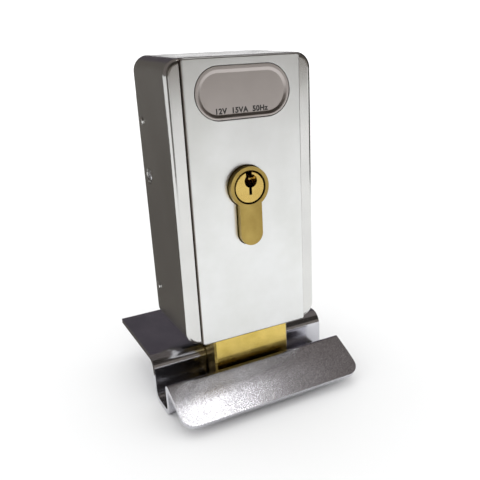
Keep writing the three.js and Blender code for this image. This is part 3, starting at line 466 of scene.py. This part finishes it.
case_steel = satin_steel("case_steel", (0.66, 0.66, 0.65), (0.74, 0.74, 0.72), (0.15, 0.22))
# Painted shade: the floor of the cover's seat, seen in the groove beside the cover, is darkened
# for the shadow that falls there.
paint_groove_shade(case_steel, (0, cover_high.x + 2.2 * gap), (case_low.y + 0.2 * MM, case_low.y + MM))
paint(case, case_steel)

# ---------------------------------------------------------------- bolt
# A milled brass block.  Its front is upright and locks against the channel; its rear slants
# so that the ramp can push the bolt up.

bolt_front = bolt_low.y
taper_top = case_low.z + 0.5 * MM
heel_cut = 5 * MM         # how far the rear slants in at the foot
side_chamfer = 0.8 * MM
foot_chamfer = 1 * MM
rod_well = 2.25 * MM      # radius of the guide rods' wells
thread_hole = 2.15 * MM   # radius of the carriage screws' holes

block = rounded_block(bolt_low, bolt_high, 0, 1)
bmesh.ops.bisect_plane(
    block, geom=[*block.verts, *block.edges, *block.faces],
    plane_co=(0, 0, taper_top), plane_no=(0, 0, 1),
)
heel = [v for v in block.verts if v.co.z < taper_top - MM and v.co.y > bolt_front + MM]
bmesh.ops.translate(block, vec=(0, -heel_cut, 0), verts=heel)
upright = [
    e for e in block.edges
    if abs(e.verts[0].co.z - e.verts[1].co.z) > MM
    and all(abs(v.co.y - bolt_front) < smallest for v in e.verts)
]
bevel(block, upright, side_chamfer, 1)
bevel(block, rim(block, "z", bolt_low.z), foot_chamfer, 2)
bolt = put("drop_bolt", block, "bolt", "bolt_brass", "bolt")
rod_low, rod_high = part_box("guide_rod_left")
rod_y = (rod_low.y + rod_high.y) / 2
rod_x = (rod_low.x + rod_high.x) / 2
holes = [
    rod("z", rod_well, rod_low.z - 20 * MM, bolt_high.z + MM, (side * rod_x, rod_y), 32)
    for side in (-1, 1)
]
for name in ("carriage_screw_1", "carriage_screw_2"):
    low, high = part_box(name)
    middle = (low + high) / 2
    holes.append(
        rod("y", thread_hole, low.y - MM, bolt_high.y + MM, (middle.x, middle.z), 32)
    )
combine(bolt, holes)
ease(bolt, 0.2 * MM, 2)
settle(bolt)


def brass(name, dark, light, rough, grain):
    """Machined brass with tool lines and a slight tarnish."""
    material, tree, shader, coords = blank(name)
    tarnish = noise(tree, coords, 140, (-900, 400))
    wear = noise(tree, coords, 220, (-900, 100))
    lines = noise(tree, coords, 1200, (-900, -200), grain, 3)
    tree.links.new(tint(tree, tarnish, dark, light, (-500, 400)), shader.inputs["Base Color"])
    tree.links.new(grey(tree, wear, *rough, (-500, 100)), shader.inputs["Roughness"])
    relief(tree, shader, lines, 0.12, 0.02 * MM)
    shader.inputs["Metallic"].default_value = 1
    return material


paint(bolt, brass("bolt_brass", (0.66, 0.49, 0.12), (0.82, 0.62, 0.18), (0.16, 0.26), (0.1, 1, 1)))

# ---------------------------------------------------------------- front cover
# A raised panel of satin steel that lies in a shallow seat in the case's front.  It has the
# cylinder's hole and a long oval recess for the badge.

cover_corner = 1.1 * MM
cover_edge = 0.75 * MM
badge_low, badge_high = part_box("badge_plate")
half_height = (badge_high.z - badge_low.z) / 2

panel = rounded_block(cover_low, cover_high, cover_corner, 6)
bevel(panel, rim(panel, "y", cover_low.y), cover_edge, 6)
cover = put("cover", panel, "lock", "cover_steel", "front_cover")
clear = Vector((gap, 0, gap))
recess = rounded_block(
    Vector((badge_low.x, cover_low.y - past, badge_low.z)) - clear,
    Vector((badge_high.x, badge_high.y + gap, badge_high.z)) + clear,
    half_height + gap * 0.99, 20,
)
combine(cover, [recess, *key_profile(gap, cover_low.y - past, cover_high.y + past)])
ease(cover, 0.22 * MM, 3, 60)
settle(cover)
cover_steel = satin_steel("cover_steel", (0.78, 0.79, 0.77), (0.88, 0.89, 0.89), (0.3, 0.38))
# Painted shade: the cover's side faces and outermost front rim are darkened for the shadow in the
# groove beside them.
paint_groove_shade(cover_steel, (cover_high.x - 0.25 * MM, cover_high.x + MM), (cover_low.y, cover_high.y))
paint(cover, cover_steel)

# ---------------------------------------------------------------- badge
# A long oval plate with a dished face, pressed into the cover's recess.  The lock's rating is
# printed in dark ink along its lower edge.

border = 1.1 * MM         # widths of the flat border and of the slope inside it
dish_depth = 0.5 * MM
dish_drop = 0.3 * MM      # the dish sits this much below the middle
letter_height = 2.9 * MM
letter_depth = 0.015 * MM
print_left = 1 * MM       # how far the print lies left of the middle
print_up = 2.3 * MM       # the print's foot above the badge's lower edge

# Corners a little under half the height leave a short flat at each end, so that the insets
# below don't fold over there.
plate = rounded_block(badge_low, badge_high, half_height * 0.97, 24)
bmesh.ops.remove_doubles(plate, verts=plate.verts, dist=0.01 * MM)
face = [f for f in plate.faces if f.normal.y < -0.9]
bmesh.ops.inset_region(plate, faces=face, thickness=border, depth=0, use_even_offset=True)
bmesh.ops.translate(plate, vec=(0, 0, -dish_drop), verts=face[0].verts)
bmesh.ops.inset_region(
    plate, faces=face, thickness=border, depth=-dish_depth, use_even_offset=True,
)
badge = put("badge", plate, "lock", "badge_steel", "badge_plate")
ease(badge, 0.14 * MM, 3, 20)
settle(badge, 40)
paint(badge, satin_steel("badge_steel", (0.46, 0.42, 0.4), (0.52, 0.48, 0.46), (0.3, 0.38)))

writing = bpy.data.curves.new("rating", "FONT")
writing.body = "12V  15VA  50Hz"
writing.size = letter_height
writing.extrude = letter_depth
writing.align_x = "CENTER"
writing.space_character = 1.1
writing.offset = 0.14 * MM
written = bpy.data.objects.new("rating_curve", writing)
bpy.context.scene.collection.objects.link(written)
bpy.context.view_layer.update()
letters = bmesh.new()
letters.from_mesh(written.evaluated_get(bpy.context.evaluated_depsgraph_get()).to_mesh())
bpy.data.objects.remove(written)
bmesh.ops.remove_doubles(letters, verts=letters.verts, dist=0.001 * MM)
bmesh.ops.rotate(letters, matrix=Matrix.Rotation(math.pi / 2, 3, "X"), verts=letters.verts)
printed = Vector((
    (badge_low.x + badge_high.x) / 2 - print_left, badge_low.y + dish_depth - 0.01 * MM,
    badge_low.z + print_up,
))
bmesh.ops.translate(letters, vec=printed, verts=letters.verts)
bmesh.ops.recalc_face_normals(letters, faces=letters.faces)
rating = put("rating", letters, "lock", "badge_steel")


def mottled(name, dark, light, rough):
    """Ink, plastic or rubber: an even colour with faint mottling and fine pores."""
    material, tree, shader, coords = blank(name)
    clouds = noise(tree, coords, 160, (-900, 400))
    pores = noise(tree, coords, 900, (-900, 0))
    tree.links.new(tint(tree, clouds, dark, light, (-500, 400)), shader.inputs["Base Color"])
    tree.links.new(grey(tree, pores, *rough, (-500, 0)), shader.inputs["Roughness"])
    relief(tree, shader, pores, 0.1, 0.03 * MM)
    return material


paint(rating, mottled("print", (0.02, 0.017, 0.016), (0.045, 0.04, 0.038), (0.45, 0.6)))

# ---------------------------------------------------------------- cylinder
# A standard-profile brass lock cylinder: a pressed body and a turned plug with a keyway.  The
# keyway's round head breaks out of the plug's top; its ribs start a little behind the face.

plug_low, plug_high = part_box("cylinder_plug")
cam_low, cam_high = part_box("cylinder_cam")
plug_bore = 7 * MM
stub_bore = 4.85 * MM         # behind the cam
cross_screw_hole = 2.8 * MM
pin_hole = 1.6 * MM
plug_radius = 6.4 * MM
plug_edge = 0.35 * MM
stub_radius = 4.5 * MM        # the plug behind the cam, and the groove its circlip sits in
groove_radius = 3.7 * MM
key_head = 2.8 * MM           # the keyway's round head


def axis_block(x, y, z):
    """A plain block; x and z are from the key axis in mm, and y is a place."""
    low = Vector((key_x + x[0] * MM, y[0], key_z + z[0] * MM))
    high = Vector((key_x + x[1] * MM, y[1], key_z + z[1] * MM))
    return rounded_block(low, high, 0, 1)


head, tail = key_profile(0, body_low.y, body_high.y, 128)
body = put("cylinder_housing", head, "lock", "body_brass", "cylinder_body")
combine(body, [tail], "UNION")
fixing_low, fixing_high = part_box("cylinder_screw")
fixing_at = ((fixing_low.y + fixing_high.y) / 2, (fixing_low.z + fixing_high.z) / 2)
cuts = [
    axis_block((-10, 10), (cam_low.y - gap, cam_high.y + gap), (-16.5, 12)),
    rod("y", plug_bore, body_low.y - MM, cam_low.y, key_axis, 128),
    rod("y", stub_bore, cam_high.y, body_high.y + MM, key_axis, 64),
    rod("x", cross_screw_hole, key_x - 10 * MM, key_x + 10 * MM, fixing_at, 32),
]
pin_y = []
for number in range(1, 6):
    low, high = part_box(f"driver_pin_{number}")
    spring_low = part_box(f"pin_spring_{number}")[0]
    y = (low.y + high.y) / 2
    cuts.append(rod("z", pin_hole, spring_low.z - gap, key_z - 5 * MM, (key_x, y), 24))
    pin_y.append(y)
combine(body, cuts)
ease(body, 0.26 * MM, 3, 60)
settle(body)
paint(body, brass("body_brass", (0.36, 0.25, 0.07), (0.49, 0.36, 0.11), (0.3, 0.42), (30, 1, 1)))

barrel = rod("y", plug_radius, plug_low.y, cam_low.y - gap, key_axis, 128)
bevel(barrel, rim(barrel, "y", plug_low.y), plug_edge, 4)
plug = put("plug", barrel, "key", "plug_brass", "cylinder_plug")
combine(plug, [
    rod("y", stub_radius, cam_low.y - 2 * MM, body_high.y + gap, key_axis, 64),
    rod("y", groove_radius, body_high.y, plug_high.y - 0.2 * MM, key_axis, 64),
    rod("y", stub_radius, body_high.y + 1.1 * MM, plug_high.y, key_axis, 64),
], "UNION")
deep = (plug_low.y - MM, cam_low.y - 3 * MM)
cuts = [
    rod("y", key_head, *deep, (key_x + 0.5 * MM, key_z + 2.6 * MM), 48),
    axis_block((-1.55, 1.1), deep, (4, 8)),
    axis_block((-0.4, 0.85), deep, (-3.1, 2)),
]
cuts += [
    rod("z", pin_hole, key_z - 7.7 * MM, key_z - 2.6 * MM, (key_x, y), 24) for y in pin_y
]
cuts += [
    axis_block(x, (cam_low.y - gap, cam_high.y + 0.5 * MM), (-6, 6)) for x in ((-6, -3), (3, 6))
]
combine(plug, cuts)
behind_face = (plug_low.y + 3.2 * MM, cam_low.y - 3.5 * MM)
ribs = [
    axis_block((1.1, 3.8), behind_face, (2.4, 3.1)),
    axis_block((-2.8, -1.1), behind_face, (3.6, 4.3)),
]
combine(plug, ribs, "UNION")
ease(plug, 0.12 * MM, 2, 60)
settle(plug)
plug_brass = brass("plug_brass", (0.6, 0.42, 0.12), (0.72, 0.53, 0.17), (0.22, 0.32), (1, 1, 20))
paint(plug, plug_brass)

# ---------------------------------------------------------------- side fixings
# On each side a pan-head screw sits in a sunk seat and two rivets hold the case's rear edge
# to the chassis.


def headed(name, node_name, side, head, shank, overlap, segments):
    """A domed head and a shank along X.

    head is its radius, height, rounding and the rounding's segments; overlap is how far the
    shank runs into it, and segments are those of head and shank.
    """
    low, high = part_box(node_name)
    at = ((low.y + high.y) / 2, (low.z + high.z) / 2)
    top = max(low.x * side, high.x * side)
    inner = min(low.x * side, high.x * side)
    radius, height, rounding, steps = head
    under = top - height
    dome = rod("x", radius, *sorted((side * under, side * top)), at, segments[0])
    bevel(dome, rim(dome, "x", side * top), rounding, steps)
    piece = put(name, dome, "lock", "plated_steel", node_name)
    reach = sorted((side * inner, side * (under + overlap)))
    combine(piece, [rod("x", shank, *reach, at, segments[1])], "UNION")
    return piece, top, at


def cross_slots(size, width, low, high, at):
    """Two crossed slots for a screwdriver in the end of a screw that lies along X."""
    y, z = at
    return [
        rounded_block(Vector((low, y - a, z - b)), Vector((high, y + a, z + b)), 0, 1)
        for a, b in ((size, width), (width, size))
    ]


pan_head = (1.9 * MM, 0.7 * MM, 0.55 * MM, 5)
rivet_head = (1.7 * MM, 0.55 * MM, 0.5 * MM, 6)
zinc_plate = satin_steel("zinc_plate", (0.6, 0.61, 0.63), (0.7, 0.71, 0.73), (0.24, 0.36))
for side, name in ((-1, "left"), (1, "right")):
    screw, top, at = headed(
        f"side_fixing_{name}", f"side_screw_{name}", side, pan_head, 1.5 * MM, 0.2 * MM, (48, 32),
    )
    slot = sorted((side * (top - 0.45 * MM), side * (top + MM)))
    combine(screw, cross_slots(1.3 * MM, 0.28 * MM, *slot, at))
    ease(screw, 0.06 * MM, 2, 60)
    settle(screw)
    paint(screw, zinc_plate)
    for level in ("lower", "upper"):
        rivet = headed(
            f"rivet_{name}_{level}", f"case_rivet_{name}_{level}", side, rivet_head, 1.15 * MM,
            0.1 * MM, (40, 24),
        )[0]
        settle(rivet)
        paint(rivet, case_steel)

# ---------------------------------------------------------------- bolt springs
# Two compression springs around the guide rods press the bolt down.  Their end coils are
# closed.

coil_radius = 3.6 * MM
wire_radius = 0.45 * MM
wire_sides = 14
coil_turns = 9


def spring(low, high, at):
    """A coil of round wire about Z between two heights, with one closed turn at each end."""
    mesh = bmesh.new()
    ring = bmesh.ops.create_circle(mesh, segments=wire_sides, radius=wire_radius)["verts"]
    bmesh.ops.rotate(mesh, matrix=Matrix.Rotation(math.pi / 2, 3, "X"), verts=ring)
    start = (at[0] + coil_radius, at[1], low + wire_radius)
    bmesh.ops.translate(mesh, vec=start, verts=ring)
    last = list(mesh.verts) + list(mesh.edges)
    closed = 2.1 * wire_radius
    open_rise = high - low - 2 * wire_radius - 2 * closed
    for coils, rise in ((1, closed), (coil_turns - 2, open_rise), (1, closed)):
        steps = 40 * coils
        last = bmesh.ops.spin(
            mesh, geom=last, cent=(*at, 0), axis=(0, 0, 1), dvec=(0, 0, rise / steps),
            angle=2 * math.pi * coils, steps=steps, use_merge=False, use_normal_flip=False,
            use_duplicate=False,
        )["geom_last"]
    open_ends = [e for e in mesh.edges if e.is_boundary]
    bmesh.ops.holes_fill(mesh, edges=open_ends, sides=wire_sides)
    bmesh.ops.recalc_face_normals(mesh, faces=mesh.faces)
    return mesh


spring_steel = satin_steel("spring_steel", (0.4, 0.41, 0.43), (0.52, 0.53, 0.55), (0.22, 0.34))
for name in ("left", "right"):
    low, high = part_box(f"bolt_spring_{name}")
    rod_low, rod_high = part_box(f"guide_rod_{name}")
    at = ((rod_low.x + rod_high.x) / 2, (rod_low.y + rod_high.y) / 2)
    coil = spring(low.z, high.z, at)
    pusher = put(f"spring_{name}", coil, "lock", "spring_steel", f"bolt_spring_{name}")
    settle(pusher, 60, flatten=False)
    paint(pusher, spring_steel)
    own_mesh(pusher)

# ---------------------------------------------------------------- pieces inside
# The chassis and small steel pieces are zinc plated; yoke, rods and cam are left dark.  The
# coil is wound with lacquered copper wire, and guide and terminal block are nylon.


def winding(name, dark, light):
    """Lacquered copper wire laid turn beside turn."""
    material, tree, shader, coords = blank(name)
    clouds = noise(tree, coords, 120, (-900, 400))
    tree.links.new(tint(tree, clouds, dark, light, (-500, 400)), shader.inputs["Base Color"])
    turns = node(tree, "ShaderNodeTexWave", (-900, -100), bands_direction="Z")
    turns.inputs["Scale"].default_value = 600
    turns.inputs["Distortion"].default_value = 0.4
    tree.links.new(coords, turns.inputs["Vector"])
    relief(tree, shader, turns.outputs["Fac"], 0.8, 0.15 * MM)
    shader.inputs["Metallic"].default_value = 1
    shader.inputs["Roughness"].default_value = 0.3
    shader.inputs["Coat Weight"].default_value = 0.6
    return material


finishes = {
    "plated_steel": zinc_plate,
    "spring_steel": spring_steel,
    "plug_brass": plug_brass,
    "dark_steel": satin_steel("dark_steel", (0.12, 0.12, 0.13), (0.2, 0.2, 0.21), (0.4, 0.55)),
    "copper": winding("lacquered_copper", (0.5, 0.17, 0.07), (0.68, 0.27, 0.12)),
    "nylon": mottled("nylon", (0.72, 0.7, 0.62), (0.8, 0.78, 0.71), (0.4, 0.55)),
    "black_plastic": mottled(
        "black_plastic", (0.012, 0.012, 0.014), (0.03, 0.03, 0.033), (0.4, 0.55),
    ),
    "rubber": mottled("rubber", (0.01, 0.01, 0.01), (0.022, 0.022, 0.022), (0.65, 0.8)),
}
for row in frame["record"]["subparts"]:
    made = frame["nodes"][row["node"]]
    if not made.hide_render:
        paint(made, finishes[row["material_slot"]])

# ---------------------------------------------------------------- floor, light and camera
# A plain pale floor under soft light.  Dim and bright cards that only reflections see give the
# steel its tones, and a bright surround stands behind every view.

floor_z = plate_low.z - 0.1 * MM
ground = bmesh.new()
bmesh.ops.create_grid(ground, x_segments=1, y_segments=1, size=4)
bmesh.ops.translate(ground, vec=(0, 0, floor_z), verts=ground.verts)
floor = solid("floor", ground)
pale = blank("pale_floor")[0]
pale_shader = pale.node_tree.nodes["Principled BSDF"]
pale_shader.inputs["Base Color"].default_value = (0.9, 0.9, 0.9, 1)
pale_shader.inputs["Roughness"].default_value = 0.8
paint(floor, pale)

# The ramp mirrors a small lamp, which gives it its bright patch; the sky lights the rest.

overhead = bpy.data.lights.new("overhead", "AREA")
overhead.shape = "RECTANGLE"
overhead.size = 0.15
overhead.size_y = 0.18
overhead.energy = 0.32
lamp = bpy.data.objects.new("overhead", overhead)
bpy.context.scene.collection.objects.link(lamp)
lamp.location = (0.24, -0.12, 0.9)
lamp.visible_diffuse = False
sky = bpy.data.lights.new("sky", "SUN")
sky.energy = 3.4
sky.color = (0.97, 0.99, 1)
sky.angle = math.radians(150)
sun = bpy.data.objects.new("sky", sky)
bpy.context.scene.collection.objects.link(sun)
sun.visible_glossy = False


def glowing(made, shade, glow=1):
    """Makes a stage piece shine evenly in a shade."""
    material = blank(made.name)[0]
    shader = material.node_tree.nodes["Principled BSDF"]
    shader.inputs["Base Color"].default_value = (0, 0, 0, 1)
    shader.inputs["Specular IOR Level"].default_value = 0
    shader.inputs["Emission Color"].default_value = (*shade, 1)
    shader.inputs["Emission Strength"].default_value = glow
    paint(made, material)
    return made


def card(name, corners, shade, glow=1):
    """A flat stage card: a dim one holds light back, a bright one gives it."""
    mesh = bmesh.new()
    mesh.faces.new([mesh.verts.new(corner) for corner in corners])
    return glowing(solid(name, mesh), shade, glow)


def upright_card(name, start, end, low, high, shade, glow=1):
    """A card that stands between two points on the floor, from one height to another."""
    return card(name, [(*start, low), (*end, low), (*end, high), (*start, high)], shade, glow)


upright_card("backdrop", (-3, 1.3), (3, 1.3), floor_z, 0.27, (1, 1, 1), 1.3)
side_shade = (0.115, 0.105, 0.095)
mat_z = floor_z + MM
cards = [
    card("dark_mat", [
        (-0.036, -0.01, mat_z), (-0.9, 0.2, mat_z), (-0.9, 0.7, mat_z), (-0.036, 0.7, mat_z),
    ], side_shade),
    upright_card("dark_flag", (-0.9, 0.7), (-0.036, 0.7), floor_z, 0.5, side_shade),
    upright_card(
        "front_flag", (-0.36, -0.3), (-0.17, -0.46), floor_z, 0.5, (0.08, 0.07, 0.06),
    ),
    upright_card("right_flag", (0.4, -0.2), (0.4, 0.3), floor_z, 0.5, (0.05, 0.045, 0.04)),
    upright_card("rear_flag", (-0.5, 1.25), (2.5, 1.25), 0.27, 1.8, (0.085, 0.075, 0.085)),
    upright_card("high_flag", (-1, -0.9), (1.2, -0.9), 0.4, 2, (0.04, 0.035, 0.03)),
    upright_card("front_screen", (-0.3, -1.3), (2.5, -1.3), floor_z, 0.7, (0.22, 0.195, 0.17)),
]
for made in cards:
    made.visible_camera = False
    made.visible_diffuse = False
    made.visible_shadow = False
dome = bmesh.new()
bmesh.ops.create_uvsphere(dome, u_segments=48, v_segments=24, radius=3.9)
surround = glowing(solid("pale_dome", dome), (1, 1, 1), 1.2)
surround.visible_glossy = False
surround.visible_diffuse = False
surround.visible_shadow = False
world = bpy.data.worlds.new("studio")
world.use_nodes = True
world.node_tree.nodes["Background"].inputs["Color"].default_value = (0.17, 0.15, 0.14, 1)
world.node_tree.nodes["Background"].inputs["Strength"].default_value = 1
bpy.context.scene.world = world
bpy.context.scene.view_settings.view_transform = "Standard"

# The camera stands before the lock and to its left, looks down a little and leans slightly.

azimuth = math.radians(-29.51)
elevation = math.radians(21.02)
roll = math.radians(-1.49)
stand = Vector((-110.1 * MM, case_low.y - 227.5 * MM, case_low.z + 128.6 * MM))
back = Vector((
    math.sin(azimuth) * math.cos(elevation), -math.cos(azimuth) * math.cos(elevation),
    math.sin(elevation),
))
right = Vector((math.cos(azimuth), math.sin(azimuth), 0))
up = back.cross(right)
tilted_right = math.cos(roll) * right + math.sin(roll) * up
tilted_up = math.cos(roll) * up - math.sin(roll) * right
turn = Matrix((tilted_right, tilted_up, back)).transposed().to_4x4()
camera_data = bpy.data.cameras.new("camera")
camera_data.lens = 47.325
camera_data.sensor_width = 36
camera_data.shift_x = -0.103
camera_data.shift_y = 0.0488
camera_data.clip_start = 0.01
camera = bpy.data.objects.new("camera", camera_data)
bpy.context.scene.collection.objects.link(camera)
camera.matrix_world = Matrix.Translation(stand) @ turn
bpy.context.scene.camera = camera
